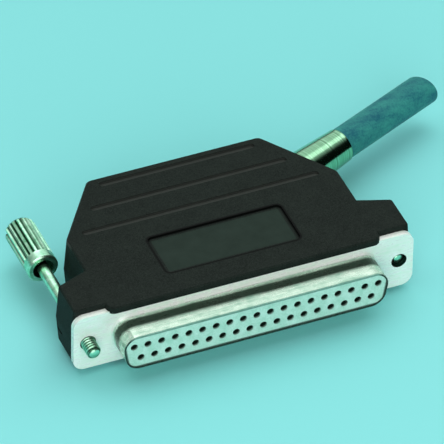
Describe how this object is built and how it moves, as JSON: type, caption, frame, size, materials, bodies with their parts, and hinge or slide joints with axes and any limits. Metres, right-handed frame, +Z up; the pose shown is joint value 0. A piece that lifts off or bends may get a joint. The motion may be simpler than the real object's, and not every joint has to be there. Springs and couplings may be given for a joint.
{
  "type": "d-sub hood",
  "caption": "Straight-topped black plastic hood with ears and slanted rear corners on a 37-way D-sub socket connector, with a cable bushing, a cable stub and captive jackscrews",
  "frame": {"origin": "Centre of the connector's flange on its front face, the plane that meets the mating connector", "axes": "+X along the contact rows, +Y back from the flange into the hood, +Z up through the label field"},
  "size_m": [0.0936, 0.0534, 0.0148],
  "materials": {
    "hood_plastic": "fine moulded grain",
    "tinned_steel": "drawn and tinned sheet",
    "insulator_plastic": "moulded thermoplastic",
    "contact_metal": "plated",
    "cable_plastic": "extruded jacket",
    "cable_filling": "packed conductors",
    "plated_metal": "turned and plated"
  },
  "bodies": {
    "hood": {"upper_shell": "hood_plastic", "lower_shell": "hood_plastic", "front_shell": "tinned_steel", "rear_shell": "tinned_steel", "socket_block": "insulator_plastic", "rear_insulator": "insulator_plastic", "wide_row_contacts": "contact_metal", "narrow_row_contacts": "contact_metal", "cable_jacket": "cable_plastic", "cable_core": "cable_filling", "cable_bushing": "plated_metal", "cable_clamp": "plated_metal", "clamp_screws": "plated_metal", "shell_screws": "plated_metal"},
    "left_clip_body": {"left_clip": "plated_metal"},
    "left_screw_body": {"left_jackscrew": "plated_metal", "left_knob": "plated_metal"},
    "right_clip_body": {"right_clip": "plated_metal"},
    "right_screw_body": {"right_jackscrew": "plated_metal"}
  },
  "joints": [
    {"name": "left_slide", "type": "slide", "parent": "hood", "child": "left_clip_body", "axis": [0, -1, 0], "range_m": [-0.0043, 0.0014]},
    {"name": "left_turn", "type": "hinge", "parent": "left_clip_body", "child": "left_screw_body", "pos_m": [-0.03175, 0, 0], "axis": [0, 1, 0], "continuous": true},
    {"name": "right_slide", "type": "slide", "parent": "hood", "child": "right_clip_body", "axis": [0, -1, 0], "range_m": [-0.0003, 0.0054]},
    {"name": "right_turn", "type": "hinge", "parent": "right_clip_body", "child": "right_screw_body", "pos_m": [0.03175, 0, 0], "axis": [0, 1, 0], "continuous": true}
  ]
}
